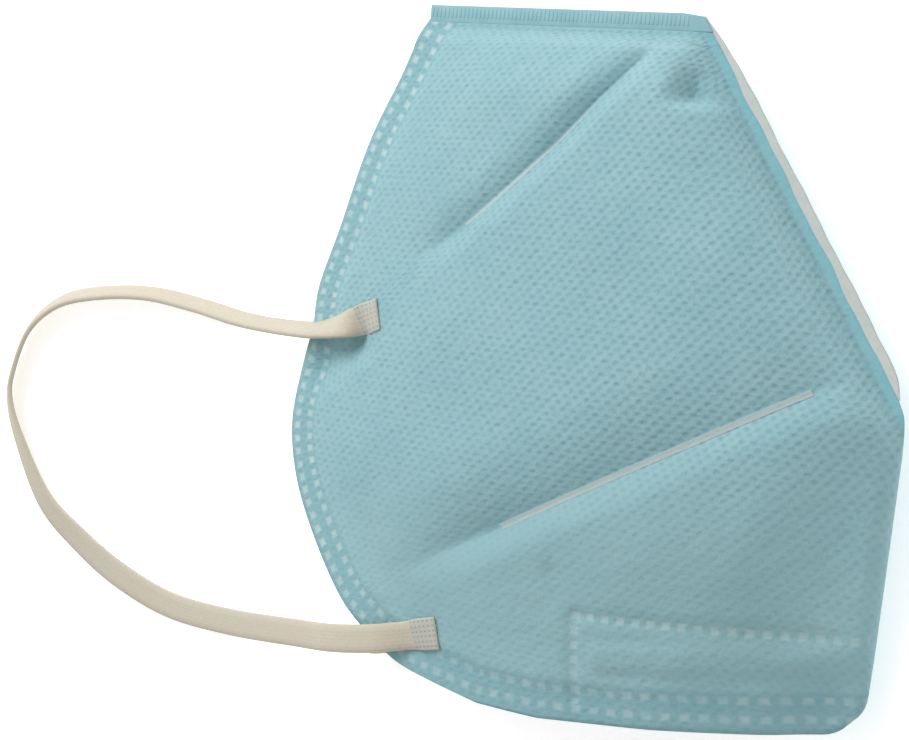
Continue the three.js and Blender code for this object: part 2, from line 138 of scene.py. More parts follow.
# The far panel's rim is drawn back under the arch of the near one, by a share of the arch's height that
# falls to nothing at the front; and its nose edge likewise.
MOUTH_SPREAD = 0.49
SPREAD_FADE = ([0, 0.85, 1], [1, 0.29, 0])
NOSE_SPREAD = 0.06
# Where the far panel is held up by the ends of its ear loop.
LIFTS = [(-41, 6.4), (-25, -46.5)]
LOOP_LIFT = {"height": 1.7, "flat": 13, "fade": 8}

RIM = np.array(
    [
        (-30.4, 57.1), (-34.5, 47.4), (-39.4, 37.3), (-44.7, 22), (-48.5, 11.8), (-49.3, 5),
        (-50.9, -1), (-52.5, -11.3), (-50.6, -21.4), (-45.7, -31.4), (-39.7, -40.6), (-34.2, -45.9),
        (-28.4, -50.5), (-20.9, -53.5),
    ]
)
# Guide rows across the panel: index in RIM, then points at the columns of COLUMN_KNOTS.
GUIDES = [
    (0, [(-24, 56.5), (-14, 55.4), (-0.5, 54.0), (13, 52.5), CHIN_FRONT[:2]]),
    (6, [(-36, 9.5), (-17.2, 21), (-1.5, 33.3), (12.5, 47.5), (24.3, 48.1)]),
    (10, [(-24, -34), (-8.6, -27.9), (17, -17.1), (42.7, -6.2), FRONT_POINT[:2]]),
    (13, [(-12.5, -56.3), (-1.8, -58.0), (16.6, -58.9), (35, -59.3), NOSE_FRONT[:2]]),
]
COLUMN_KNOTS = [0, 0.18, 0.35, 0.6, 0.85, 1]

# Depth in mm, widths of the slopes above and below, and lengths over which the two ends fade out. The
# first two are the darts: sharp, with a weld line in them. bow is how far the middle stands off the
# straight line, and swell how deep the far end is for each mm of depth.
CREASES = [
    {"from": (-17.2, 21), "to": (12.5, 47.5), "depth": 2.0, "slopes": (6, 4.5), "fade": (13, 6),
     "sharp": True, "bow": -1.35, "swell": 1.7},
    {"from": (-8.6, -27.9), "to": (42.7, -6.2), "depth": 3.3, "slopes": (13, 6), "fade": (24, 8),
     "sharp": True},
    {"from": (-38, 2.6), "to": (-47.5, -2.6), "depth": 2.4, "slopes": (6, 4), "fade": (4, 3)},
    {"from": (21.6, 40.7), "to": (30.2, 40.1), "depth": 7.9, "slopes": (8.5, 3), "fade": (4, 4.5),
     "swell": 1.25},
    {"from": (-12.6, 19.3), "to": (-10.2, 16.4), "depth": 0.4, "slopes": (1.4, 1.4), "fade": (2, 2)},
    {"from": (1.5, -34.5), "to": (4.5, -40), "depth": 0.5, "slopes": (2, 2), "fade": (3, 3)},
]
PLAIN_SWELL = 0.6  # where a crease doesn't say
# Slow swells of the limp cloth: direction in degrees, wavelength, phase and height in mm.
SWELLS = [(20, 31, 0.4, 0.13), (75, 23, 1.9, 0.10), (130, 27, 4.0, 0.11), (-35, 17, 2.6, 0.05)]
# Lines that are pressed down by weld dots: the two open sides of the nose-wire pocket, and the pitch
# of the dots.
POCKET = [((5.6, -41.2), (48.5, -44.3), 2.45), ((5.4, -41.2), (4.7, -54.7), 2.3)]
POCKET_GROOVE = {"depth": 0.5, "spread": 0.8}
WIRE_RELIEF = {"y": -47.7, "half": 2.0, "edge": 0.5, "start": 7.0, "run_in": 2, "height": 0.6}
RIM_BAND = {"width": 4.2, "rise": 3.0, "drop": 0.6}  # pressed band round the face rim
RIM_THIN = {"share": 0.42, "width": 2.5, "rise": 5}  # and how thin its layers are there
WELD_HALF = 0.46  # half thickness of the layers where they are pressed along the seam and the chin
# How far the seam's edge wanders, which way, how far in that reaches, and over what share of the seam it
# grows from each end. Its waves: radians along the seam, phase and share.
SEAM_WANDER = {"by": 0.14, "way": (0.88, 0.48), "depth": 4, "growth": 1 / 6}
SEAM_WAVES = [(23, 0, 1), (51, 1, 0.6)]
NOSE_PINCH = {"share": 0.3, "core": 3, "reach": 12}  # thickness left where the fold ends at the nose rim


def ease_out(t):
    return 1 - (1 - np.clip(t, 0, 1)) ** 2


def smooth(t):
    t = np.clip(t, 0, 1)
    return t * t * (3 - 2 * t)


def mix(a, b, t):
    return a + (b - a) * t


def inside(a, b):
    """Distance from the edge a-b towards the middle of the mask."""
    run = math.hypot(b[0] - a[0], b[1] - a[1])
    out = ((a[1] - b[1]) / run, (b[0] - a[0]) / run)
    return lambda x, y: -((x - a[0]) * out[0] + (y - a[1]) * out[1])


chin_distance = inside(CHIN_RIM, CHIN_FRONT)
seam_distance = inside(CHIN_FRONT, FRONT_POINT)
fold_distance = inside(FRONT_POINT, NOSE_FRONT)


def front_distance(x, y):
    return np.minimum(seam_distance(x, y), fold_distance(x, y))


def down_fold(y):
    return np.clip((FRONT_POINT[1] - y) / (FRONT_POINT[1] - NOSE_FRONT[1]), 0, 1)


def edge_height(x, y):
    """Height of the middle of the closed edges, carried on under the panel."""
    up_seam = np.clip((y - FRONT_POINT[1]) / (CHIN_FRONT[1] - FRONT_POINT[1]), 0, 1)
    seam = mix(FRONT_POINT[2], CHIN_FRONT[2], up_seam)
    along_chin = np.clip((x - CHIN_RIM[0]) / (CHIN_FRONT[0] - CHIN_RIM[0]), 0, 1)
    chin = mix(CHIN_RIM[2], CHIN_FRONT[2], along_chin)
    off_seam = np.maximum(seam_distance(x, y), 0)
    share = off_seam / (off_seam + np.maximum(chin_distance(x, y), 0) + 1e-9)
    fold = mix(FRONT_POINT[2], NOSE_FRONT[2], down_fold(y))
    return np.where(y < FRONT_POINT[1], fold, mix(seam, chin, share))


def dome_height(x, y):
    turn = math.radians(DOME["ridge"])
    along = (x - DOME["x"]) * math.cos(turn) + (y - DOME["y"]) * math.sin(turn)
    across = -(x - DOME["x"]) * math.sin(turn) + (y - DOME["y"]) * math.cos(turn)
    return DOME["top"] - along**2 / (2 * DOME["along"]) - across**2 / (2 * DOME["across"])


def along_crease(crease, x, y):
    """Length of a crease, and how far along and across it each point lies."""
    (x0, y0), (x1, y1) = crease["from"], crease["to"]
    length = math.hypot(x1 - x0, y1 - y0)
    along = ((x - x0) * (x1 - x0) + (y - y0) * (y1 - y0)) / length
    across = ((y - y0) * (x1 - x0) - (x - x0) * (y1 - y0)) / length
    share = np.clip(along / length, -0.3, 1.3)
    return length, along, across - crease.get("bow", 0) * 4 * share * (1 - share)


def crease_depth(crease, x, y):
    length, along, across = along_crease(crease, x, y)
    slope = np.clip(1 - np.abs(across) / np.where(across > 0, *crease["slopes"]), 0, 1)
    fade = smooth(1 + along / crease["fade"][0]) * smooth(1 + (length - along) / crease["fade"][1])
    taper = mix(1, crease.get("swell", PLAIN_SWELL), np.clip(along / length, 0, 1))
    return crease["depth"] * taper * (slope**2 if crease.get("sharp") else smooth(slope)) * fade


# Width of the flat pressed band, and the run in which the layers puff up beside it.
PRESSED = [(seam_distance, (1.1, 3.6)), (chin_distance, (0.2, 4.0))]


def pressed(height, x, y, half):
    """A panel's height over the closed edge's middle, pressed thin along the seam and the chin weld."""
    puff = 1
    for distance, (band, run) in PRESSED:
        puff = puff * smooth((distance(x, y) - band) / run)
    return mix(WELD_HALF * half / LAYER_EDGE, height, puff)


def surface_relief(x, y, from_rim):
    """Low forms of the near panel: the wire under it, the pocket's grooves and the pressed rim band."""
    off_wire = np.abs(y - WIRE_RELIEF["y"]) - WIRE_RELIEF["half"]
    wire = smooth((WIRE_RELIEF["edge"] - off_wire) / (2 * WIRE_RELIEF["edge"]))
    relief = WIRE_RELIEF["height"] * wire * smooth((x - WIRE_RELIEF["start"]) / WIRE_RELIEF["run_in"])
    for degrees, wavelength, phase, height in SWELLS:
        turn = math.radians(degrees)
        run = x * math.cos(turn) + y * math.sin(turn)
        relief = relief + height * np.sin(2 * math.pi * run / wavelength + phase)
    for start, end, _ in POCKET:
        length, along, across = along_crease({"from": start, "to": end}, x, y)
        beyond = np.maximum(np.abs(along - length / 2) - length / 2, 0)
        groove = np.exp(-(across**2 + beyond**2) / POCKET_GROOVE["spread"])
        relief = relief - POCKET_GROOVE["depth"] * groove
    return relief - RIM_BAND["drop"] * (1 - smooth((from_rim - RIM_BAND["width"]) / RIM_BAND["rise"]))


def near_height(x, y, half, from_rim):
    """How far the puffed near panel stands above the middle of the closed edges."""
    fold_run = mix(RISE["fold_at_point"], RISE["fold_at_nose"], down_fold(y))
    seam_ramp = ease_out(seam_distance(x, y) / RISE["seam"])
    ramp = np.minimum(seam_ramp, ease_out(fold_distance(x, y) / fold_run))
    ramp = ramp * ease_out(chin_distance(x, y) / RISE["chin"])
    creases = sum(crease_depth(crease, x, y) for crease in CREASES)
    rise = np.maximum(0, (dome_height(x, y) - edge_height(x, y) - LAYER_EDGE - creases) * ramp)
    rise = rise + surface_relief(x, y, from_rim) * smooth(ramp * 2)
    return pressed(half + rise * (half / LAYER_EDGE), x, y, half)


def far_height(x, y, half):
    """How far the far panel hangs below the middle of the closed edges."""
    ramp = smooth(front_distance(x, y) / FALL["front"]) * smooth(chin_distance(x, y) / FALL["chin"])
    lifts = 0
    for lift_x, lift_y in LIFTS:
        beyond = np.hypot(x - lift_x, y - lift_y) - LOOP_LIFT["flat"]
        lifts = lifts + LOOP_LIFT["height"] * smooth(1 - beyond / LOOP_LIFT["fade"])
    fall = (edge_height(x, y) - LAYER_EDGE) * ramp - lifts
    return pressed((LAYER_EDGE + fall) * (half / LAYER_EDGE), x, y, half)


def nose_pinch(x, y):
    """Share of the thickness left where the fold ends at the nose rim, and the layers lie close."""
    beyond = np.hypot(x - NOSE_FRONT[0], y - NOSE_FRONT[1]) - NOSE_PINCH["core"]
    return mix(NOSE_PINCH["share"], 1, smooth(beyond / NOSE_PINCH["reach"]))


def edge_half(off_front, off_chin):
    """Half thickness by distance from the front edge and from the chin: rounded, full by 2.6 mm."""
    def rounded(off):
        off = np.clip(off, 0, LAYER_EDGE)
        return np.sqrt(LAYER_EDGE**2 - (LAYER_EDGE - off) ** 2) / LAYER_EDGE
    return LAYER_EDGE * rounded(off_front) * rounded(off_chin)


def on_curve(p0, p1, p2, p3, t):
    """A point between p1 and p2 on a Catmull-Rom curve through four points."""
    return 0.5 * (2 * p1 + (p2 - p0) * t + (2 * p0 - 5 * p1 + 4 * p2 - p3) * t**2
                  + (3 * p1 - p0 - 3 * p2 + p3) * t**3)


def rim_point(index):
    """A point on the face rim, a smooth curve through RIM, by its index there."""
    k = np.clip(np.floor(index).astype(int), 0, len(RIM) - 2)
    around = [RIM[np.clip(k + i, 0, len(RIM) - 1)] for i in (-1, 0, 1, 2)]
    return on_curve(*around, (index - k)[..., None])


def plan_point(w, u):
    """Points in plan. w: 0 chin, 1 upper dart, 2 lower dart, 3 nose; u: 0 rim, 1 front."""
    zone = np.clip(np.floor(w).astype(int), 0, 2)
    part = (w - zone)[..., None]
    knots = np.array([points for _, points in GUIDES], float)
    rim_index = np.array([index for index, _ in GUIDES], float)
    rim = rim_point(mix(rim_index[zone], rim_index[zone + 1], part[..., 0]))
    rows = mix(knots[zone], knots[zone + 1], part[..., None])
    rows = np.concatenate([rim[..., None, :], rows], axis=-2)
    span = np.clip(np.searchsorted(COLUMN_KNOTS, u, side="right") - 1, 0, len(COLUMN_KNOTS) - 2)
    start = np.array(COLUMN_KNOTS)[span]
    share = (u - start) / (np.array(COLUMN_KNOTS)[span + 1] - start)
    first = np.take_along_axis(rows, span[..., None, None].repeat(2, -1), axis=-2)[..., 0, :]
    second = np.take_along_axis(rows, (span + 1)[..., None, None].repeat(2, -1), axis=-2)[..., 0, :]
    return mix(first, second, share[..., None])


def finished_edge(plan):
    """Rounds the nose corner, lets the seam's edge wander, and eases the corner at the front point."""
    off_nose = inside(NOSE_FRONT, GUIDES[3][1][3])(plan[..., 0], plan[..., 1])
    off_fold = fold_distance(plan[..., 0], plan[..., 1])
    # Points in the square corner are drawn from its square rings to round ones of the same radius.
    out = np.maximum(NOSE_CORNER - np.stack([off_fold, off_nose], axis=-1), 0)
    back = out - out * (out.max(axis=-1) / np.maximum(np.linalg.norm(out, axis=-1), 1e-9))[..., None]
    fold_run = np.array(FRONT_POINT[:2]) - np.array(NOSE_FRONT[:2])
    fold_run /= np.linalg.norm(fold_run)
    inward = np.array([[-fold_run[1], fold_run[0]], [0.0, 1.0]])
    plan = np.where((out > 0).all(axis=-1)[..., None], plan + back @ inward, plan)
    off_seam = seam_distance(plan[..., 0], plan[..., 1])
    down_seam = (CHIN_FRONT[1] - plan[..., 1]) / (CHIN_FRONT[1] - FRONT_POINT[1])
    wander = sum(share * np.sin(turns * down_seam + phase) for turns, phase, share in SEAM_WAVES)
    wander = wander * SEAM_WANDER["by"] * np.clip(1 - off_seam / SEAM_WANDER["depth"], 0, 1)
    for off_end in (down_seam, 1 - down_seam):
        wander = wander * smooth(off_end / SEAM_WANDER["growth"])
    plan = plan + wander[..., None] * np.array(SEAM_WANDER["way"])
    off_point = np.hypot(plan[..., 0] - FRONT_POINT[0], plan[..., 1] - FRONT_POINT[1])
    eased = POINT_EASE["in"] * np.clip(1 - off_point / POINT_EASE["reach"], 0, 1) ** 2
    return plan + eased[..., None] * np.array(POINT_EASE["way"])


# The grid of a skin: mm from a closed edge to each of its rows there, then the rows of the three zones
# of w, and the columns between the rim and LAST_FREE mm from the front edge.
EDGE_STATIONS = np.array([0, 0.06, 0.2, 0.42, 0.7, 1.0, 1.35, 1.75, 2.15, LAYER_EDGE])
ZONE_ROWS = [52, 62, 46]
FREE_COLUMNS = 100
LAST_FREE = 3.4
LAST_SPAN = 1 - COLUMN_KNOTS[-2]  # of u, up to the front edge


def panel_grid(edge_inset):
    """Plan points of a skin whose closed edges lie edge_inset (mm) inside the outer face's, with each
    point's distance from the front edge and from the chin, as the outer face has it."""
    insets = EDGE_STATIONS + edge_inset * (1 - EDGE_STATIONS / LAYER_EDGE)
    # How deep the chin's zone is in each column. At the rim, w runs evenly by RIM's points, and the first
    # step sets its scale there.
    dart_row = plan_point(np.ones(len(COLUMN_KNOTS)), np.array(COLUMN_KNOTS))
    depth = chin_distance(dart_row[:, 0], dart_row[:, 1])
    depth[0] = chin_distance(*RIM[1]) * GUIDES[1][0]
    columns = FREE_COLUMNS + len(EDGE_STATIONS)
    u_flat = np.concatenate([np.linspace(0, 0.93, FREE_COLUMNS), np.ones(len(EDGE_STATIONS))])
    zone_depth = np.interp(u_flat, COLUMN_KNOTS, depth)
    first_free = LAYER_EDGE / zone_depth
    rows = [inset / zone_depth for inset in insets]
    off_chin = [np.full(columns, s) for s in EDGE_STATIONS]
    rows += [mix(first_free, 1, f) for f in np.linspace(0, 1, ZONE_ROWS[0] + 1)[1:]]
    for zone, count in ((1, ZONE_ROWS[1]), (2, ZONE_ROWS[2])):
        rows += [np.full(columns, zone + f) for f in np.linspace(0, 1, count + 1)[1:]]
    w = np.array(rows)
    off_chin += [np.full(columns, LAYER_EDGE)] * (len(rows) - len(off_chin))

    knot = plan_point(w, np.full(w.shape, COLUMN_KNOTS[-2]))
    run = front_distance(knot[..., 0], knot[..., 1])
    u = np.empty(w.shape)
    off_front = np.full(w.shape, LAYER_EDGE)
    last_free = 1 - LAST_SPAN * LAST_FREE / run[:, FREE_COLUMNS - 1]
    u[:, :FREE_COLUMNS] = np.linspace(0, 1, FREE_COLUMNS)[None, :] * last_free[:, None]
    u[:, FREE_COLUMNS:] = 1 - LAST_SPAN * insets[::-1] / run[:, FREE_COLUMNS:]
    off_front[:, FREE_COLUMNS:] = EDGE_STATIONS[::-1]
    return finished_edge(plan_point(w, u)), u, off_front, np.array(off_chin)


# The rim's line in plan, carried on past the chin and the fold so that its weld rows run out straight.
NOSE_EDGE = [(-12.5, -56.3), (-1.8, -58.0), (10.8, -58.8), (24.3, -59.1), (35, -59.3), (60, -59.3)]
RIM_LINE = np.concatenate([[(-25.8, 68.0)], rim_point(np.linspace(0, len(RIM) - 1, 90)), NOSE_EDGE])
# The weld marks round the rim stand 2.36 mm apart at the cheek and 2.9 mm by the nose. Their even pitch
# is in counted length, and this gives lengths along the rim and what each is counted as.
RIM_PITCH = 2.6
RIM_COUNTED = ([0, 100, 140, 250], [0, 110.2, 150.9, 249.5])
# How far in from the rim the two rows lie, and how much further in they run past a counted length.
RIM_ROWS = [1.4, 4.4]
NOSE_ALLOWANCE = ([125, 165], [0, 1.0])


def rim_coordinates(points):
    """How far along the face rim, as counted, and how far in from it each point lies, in plan."""
    steps = np.diff(RIM_LINE, axis=0)
    lengths = np.hypot(steps[:, 0], steps[:, 1])
    starts = np.concatenate([[0], np.cumsum(lengths)[:-1]])
    best = np.full(points.shape[:-1], 1e9)
    along = np.zeros(points.shape[:-1])
    for origin, step, length, start in zip(RIM_LINE[:-1], steps, lengths, starts):
        share = np.clip(((points - origin) @ step) / length**2, 0, 1)
        gap = points - origin - share[..., None] * step
        distance = np.hypot(gap[..., 0], gap[..., 1])
        closer = distance < best
        best[closer] = distance[closer]
        along[closer] = start + share[closer] * length
    return np.interp(along, *RIM_COUNTED), best


def thin_out(depth, from_rim, height):
    """Depth of a skin inside the outer face: the layers are pressed thin at the rim and the welds."""
    rim_share = mix(RIM_THIN["share"], 1, smooth((from_rim - RIM_THIN["width"]) / RIM_THIN["rise"]))
    return depth * rim_share * np.minimum(1, height / LAYER_EDGE)


EDGE_INSET = 0.05  # how far in a skin's closed edges lie, for each mm of its depth


def skin(depth):
    """Near and far grids of a closed skin at a depth inside the outer face, with its plan values."""
    plan, u, off_front, off_chin = panel_grid(EDGE_INSET * depth)
    x, y = plan[..., 0], plan[..., 1]
    along_rim, from_rim = rim_coordinates(plan)
    half = edge_half(off_front, off_chin) * nose_pinch(x, y)
    middle = edge_height(x, y)
    above = near_height(x, y, half, from_rim)
    below = far_height(x, y, half)
    near_z = middle + above - thin_out(depth, from_rim, above)
    far_z = middle - below + thin_out(depth, from_rim, below)
    far_x = x - MOUTH_SPREAD * (above - half)[:, :1] * np.interp(u, *SPREAD_FADE)
    far_y = y - NOSE_SPREAD * np.maximum(above - half, 0) * down_fold(y) ** 2
    near = np.stack([x, y, near_z], axis=-1)
    far = np.stack([far_x, far_y, far_z], axis=-1)
    return near, far, {"along_rim": along_rim, "from_rim": from_rim, "plan": plan}


def flat_coordinates(points):
    """Each point's place in the flat cloth, in mm: lengths along the surface, from the middle out."""
    def laid_out(line, start):
        step = np.diff(line, axis=0)
        plan = step[..., :2]
        unit = plan / np.maximum(np.linalg.norm(plan, axis=-1, keepdims=True), 1e-9)
        run = np.concatenate([np.zeros((1,) + line.shape[1:-1] + (2,)),
                              np.cumsum(unit * np.linalg.norm(step, axis=-1, keepdims=True), axis=0)])
        return run - run[start]
    middle = points.shape[1] // 2
    row = points.shape[0] // 2
    spine = laid_out(points[:, middle], row) + points[row, middle, :2]
    return spine[:, None, :] + laid_out(points.transpose(1, 0, 2), middle).transpose(1, 0, 2)


# The bond lattice: its cell is 1.85 by 2.11 mm and turned 9 degrees, and the web is drawn a little as it
# is formed, so the cell is tighter by the ear. Cycles per mm along u and v, and their drift in u*u, u*v
# and v*v.
BOND_LATTICE = np.array(
    [(0.5327, -0.0969, -0.000315, 0.00063, 0.000135), (0.0637, 0.4702, 0.000055, -0.00042, 0.000145)]
)
# What the cloth's pattern follows.
CLOTH_VALUES = ("cloth", "bonds", "rim", "edges", "upper_dart", "lower_dart")


def cloth_layer(name, outer_depth, inner_depth, material):
    """A closed layer of cloth between two skins, round both panels, with its rim closed."""
    sheets = []
    for depth in (outer_depth, inner_depth):
        near, far, values = skin(depth)
        sheets.append((np.concatenate([near, far[:, -2::-1]], axis=1), values, near))
    rows, columns = sheets[0][0].shape[:2]
    size = rows * columns
    vertices = np.concatenate([sheet.reshape(-1, 3) for sheet, _, _ in sheets]) * 0.001
    index = np.arange(size).reshape(rows, columns)
    quads = np.stack([index[:-1, :-1], index[:-1, 1:], index[1:, 1:], index[1:, :-1]], axis=-1)
    quads = quads.reshape(-1, 4)
    faces = [tuple(q) for q in quads[:, ::-1]] + [tuple(q + size) for q in quads]
    border = list(index[:, 0]) + list(index[-1, 1:]) + list(index[-2::-1, -1])
    faces += [(a, b, b + size, a + size) for a, b in zip(border, border[1:])]
    piece = new_piece(name, vertices, faces, material)
    write_cloth_values(piece, sheets)
    work = bmesh.new()
    work.from_mesh(piece.data)
    bmesh.ops.remove_doubles(work, verts=work.verts, dist=2e-6)
    bmesh.ops.recalc_face_normals(work, faces=work.faces)
    work.to_mesh(piece.data)
    work.free()
    piece.data.shade_smooth()
    return piece


def write_cloth_values(piece, sheets):
    """Stores each point's place in the flat cloth, on the bond lattice, on the rim, off the closed edges
    and on the darts."""
    def both_panels(*values):
        grid = np.stack(values, axis=-1)
        return np.concatenate([grid, grid[:, -2::-1]], axis=1).reshape(-1, 3)
    stored = {name: [] for name in CLOTH_VALUES}
    for sheet, values, near in sheets:
        x, y = values["plan"][..., 0], values["plan"][..., 1]
        nothing = np.zeros(x.shape)
        flat = flat_coordinates(near)
        u, v = flat[..., 0], flat[..., 1]
        stored["cloth"].append(both_panels(u, v, nothing))
        cycles = np.stack([u, v, u * u, u * v, v * v], axis=-1) @ BOND_LATTICE.T
        stored["bonds"].append(both_panels(cycles[..., 0], cycles[..., 1], nothing))
        allowance = np.interp(values["along_rim"], *NOSE_ALLOWANCE)
        stored["rim"].append(both_panels(values["along_rim"], values["from_rim"] - allowance, nothing))
        stored["edges"].append(both_panels(seam_distance(x, y), chin_distance(x, y), fold_distance(x, y)))
        for name, crease in (("upper_dart", CREASES[0]), ("lower_dart", CREASES[1])):
            length, along, across = along_crease(crease, x, y)
            stored[name].append(both_panels(along - length / 2, across, nothing))
    for name, arrays in stored.items():
        attribute = piece.data.attributes.new(name, "FLOAT_VECTOR", "POINT")
        attribute.data.foreach_set("vector", np.concatenate(arrays).astype(np.float32).ravel())


def weld_mark(tree, along, across, length, width, soft):
    """A pressed mark, length by width in mm round a point, with soft edges: 1 on it and 0 off it."""
    gaps = []
    for place, size in ((along, length), (across, width)):
        off = add_node(tree, "Math", {0: place}, operation="ABSOLUTE")
        gaps.append(add_node(tree, "Math", {0: off, 1: size / 2}, operation="SUBTRACT"))
    edge = add_node(tree, "Math", {0: gaps[0], 1: gaps[1], 2: 0.25}, operation="SMOOTH_MAX")
    return add_node(tree, "MapRange", {"Value": edge, "From Min": soft, "From Max": -soft},
                    interpolation_type="SMOOTHSTEP")


def band(tree, off, width, soft):
    """A pressed band, width in mm across the line that off is measured from."""
    return weld_mark(tree, off, 0.0, width, 1.0, soft)


def weld_row(tree, along, across, pitch, length, width, soft):
    """A row of pressed marks at a pitch."""
    nearest = add_node(tree, "Math", {0: along, 1: pitch / 2}, operation="PINGPONG")
    return weld_mark(tree, nearest, across, length, width, soft)


def ripple(tree, place, pitch):
    """A wave along a place: 1 at its crests, a pitch apart, and -1 between them."""
    turn = add_node(tree, "Math", {0: place, 1: 2 * math.pi / pitch}, operation="MULTIPLY")
    return add_node(tree, "Math", {0: turn}, operation="COSINE")


def combined(tree, operation, masks):
    """Several masks as one: MAXIMUM of them where any counts, MULTIPLY where all do."""
    both = masks[0]
    for mask in masks[1:]:
        both = add_node(tree, "Math", {0: both, 1: mask}, operation=operation)
    return both


def layered(tree, colour, shades):
    """Shades laid over a colour in turn, each by a mask and its strength."""
    for mask, strength, shade in shades:
        share = add_node(tree, "Math", {0: mask, 1: strength}, operation="MULTIPLY")
        colour = add_node(tree, "Mix", {0: share, 6: colour, 7: shade}, output=2, data_type="RGBA")
    return colour


def heights(tree, marks):
    """A bump height in mm, from masks and the height of each."""
    total = 0.0
    for mask, height in marks:
        total = add_node(tree, "Math", {0: mask, 1: height, 2: total}, operation="MULTIPLY_ADD")
    return total


def finish_material(tree, shader, colour, roughness, relief, strength=1.0, unit=0.001):
    """Gives a material its colour and roughness, and a relief in a unit of metres."""
    tree.links.new(colour, shader.inputs["Base Color"])
    shader.inputs["Roughness"].default_value = roughness
    bump = add_node(tree, "Bump", {"Height": relief, "Strength": strength, "Distance": unit})
    tree.links.new(bump, shader.inputs["Normal"])


# Pressed bands: width to both sides of their line, and softness of their edges. Beside two of them lies a
# band of painted shade, in the valley where the cloth puffs up from the weld; the next table gives how far
# in from the edge it lies.
SEAM_BAND, CHIN_WELD_BAND, RIM_BAND_MASK, VALLEY_SHADE_BAND = (2.7, 0.45), (1.4, 0.2), (11.2, 0.7), (0.4, 0.5)
VALLEY_SHADE_INSETS = {"seam": 1.75, "chin": 1.2}
# Weld marks and dart lines: length, width and softness.
RIM_MARK, POCKET_MARK = (1.3, 1.15, 0.36), (1.25, 1.3, 0.3)
UPPER_LINE, LOWER_LINE = (39.8, 0.55, 0.28), (55.7, 1.05, 0.15)

# Extruded filaments, laid and then pressed together by a heated roller with round pins: matt, faintly
# fibrous and cloudy, with soft blue-grey pits between pale cushions. The welds show the white inside.
spunbond, tree, shader = new_material("point-bonded spunbond polypropylene")
sources = {name: add_node(tree, "Attribute", output="Vector", attribute_name=name) for name in CLOTH_VALUES}
places = {name: add_node(tree, "SeparateXYZ", {0: sources[name]}).node.outputs for name in CLOTH_VALUES}
web = sources["cloth"]
web_x, web_y, _ = places["cloth"]
along_rim, off_rim, _ = places["rim"]
off_seam, off_chin, off_fold = places["edges"]
clouds = add_node(tree, "TexNoise", {"Vector": web, "Scale": 0.085, "Detail": 4.0, "Roughness": 0.6})
blotches = add_node(tree, "TexNoise", {"Vector": web, "Scale": 0.3, "Detail": 3.0, "Roughness": 0.6})
fibres = add_node(tree, "TexNoise", {"Vector": web, "Scale": 2.2, "Detail": 3.0, "Roughness": 0.7})

# Three waves make round pits in staggered rows, drawn into closer rows by the ear.
waves = [ripple(tree, places["bonds"][axis], pitch) for axis, pitch in ((0, 1), (1, 1), (1, 0.5))]
crossed = combined(tree, "MULTIPLY", waves[:2])
weight = add_node(tree, "MapRange", {"Value": web_x, "From Min": -30.0, "From Max": 25.0,
                                     "To Min": 2.3, "To Max": 3.2})
lattice = add_node(tree, "Math", {0: crossed, 1: weight, 2: waves[2]}, operation="MULTIPLY_ADD")
pits = add_node(tree, "MapRange", {"Value": lattice, "From Min": -3.4, "From Max": 4.2})

# The welds: bands along the edges, two rows round the rim, the pocket's rows, and the darts' lines. The
# upper dart's line is lost in the fold at its far end.
seam_band = band(tree, off_seam, *SEAM_BAND)
chin_band = band(tree, off_chin, *CHIN_WELD_BAND)
rim_band = band(tree, off_rim, *RIM_BAND_MASK)
# Painted shade: a darker band in the valley beside the seam's weld and beside the chin's, where the cloth
# rises from the pressed band.
valley_shades = []
for off_edge, inset in ((off_seam, VALLEY_SHADE_INSETS["seam"]), (off_chin, VALLEY_SHADE_INSETS["chin"])):
    off_shaded_valley = add_node(tree, "Math", {0: off_edge, 1: inset}, operation="SUBTRACT")
    valley_shades.append(band(tree, off_shaded_valley, *VALLEY_SHADE_BAND))
upper_dart = weld_mark(tree, *places["upper_dart"][:2], *UPPER_LINE)
sunk = add_node(tree, "MapRange", {"Value": places["upper_dart"][0], "From Min": 13.0, "From Max": 0.0})
upper_dart = combined(tree, "MULTIPLY", [upper_dart, sunk])
lower_dart = weld_mark(tree, *places["lower_dart"][:2], *LOWER_LINE)
darts = combined(tree, "MAXIMUM", [upper_dart, lower_dart])
rows = []
for inset in RIM_ROWS:
    off_row = add_node(tree, "Math", {0: off_rim, 1: inset}, operation="SUBTRACT")
    rows.append(weld_row(tree, along_rim, off_row, RIM_PITCH, *RIM_MARK))
between = add_node(tree, "Math", {0: combined(tree, "MAXIMUM", rows), 1: -1.0, 2: rim_band},
                   operation="MULTIPLY_ADD", use_clamp=True)
position = add_node(tree, "TexCoord", output="Object")
for (x0, y0), (x1, y1), pitch in POCKET:
    length = math.hypot(x1 - x0, y1 - y0)
    run = Vector((x1 - x0, y1 - y0, 0)) / length
    offset = add_node(tree, "VectorMath", {0: position, 1: (1000, 1000, 0), 2: (-x0, -y0, 0)},
                      operation="MULTIPLY_ADD")
    along, across = (
        add_node(tree, "VectorMath", {0: offset, 1: way}, output="Value", operation="DOT_PRODUCT")
        for way in (run, (-run.y, run.x, 0))
    )
    off_middle = add_node(tree, "Math", {0: along, 1: length / 2}, operation="SUBTRACT")
    whole_row = band(tree, off_middle, length + 1.2, 0.1)
    rows.append(combined(tree, "MULTIPLY", [weld_row(tree, along, across, pitch, *POCKET_MARK), whole_row]))
faint = add_node(tree, "MapRange", {"Value": web_y, "From Min": -50.0, "From Max": -32.0, "To Min": 0.5})
patchy = add_node(tree, "MapRange", {"Value": blotches, "From Min": 0.35, "From Max": 0.65,
                                     "To Min": 0.6, "To Max": 1.1})
marks = combined(tree, "MULTIPLY", [combined(tree, "MAXIMUM", rows), faint, patchy])
